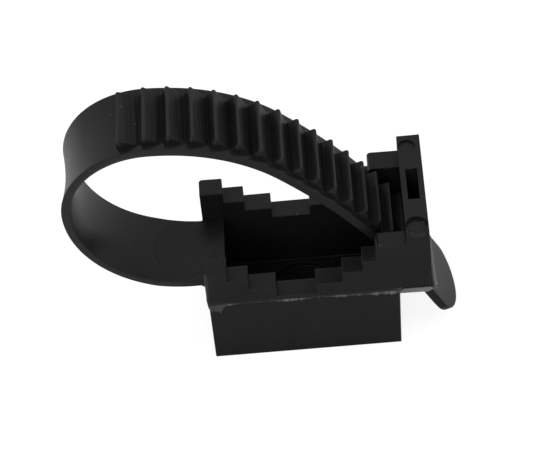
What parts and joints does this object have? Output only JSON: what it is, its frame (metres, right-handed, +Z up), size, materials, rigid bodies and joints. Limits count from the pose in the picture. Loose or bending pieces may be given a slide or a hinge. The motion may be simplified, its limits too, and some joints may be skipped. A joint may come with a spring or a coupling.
{
  "type": "cable strap holder",
  "caption": "One-piece moulded cable clamp: a stepped cradle on a screw-down block, with a toothed strap that loops over the cable and locks in a ratchet head.",
  "frame": {"origin": "on the axis of the fixing hole, at the block's base face", "axes": "+Z up out of the base face, along the fixing hole; +X along the cradle, from the strap's root towards the head; +Y across the holder, to the back"},
  "size_m": [0.051, 0.0164, 0.0437],
  "materials": {
    "black_polyamide": "as-moulded black polyamide with a low sheen and a flash line at the parting plane"
  },
  "bodies": {
    "root": {"strap_holder": "black_polyamide"}
  },
  "joints": []
}
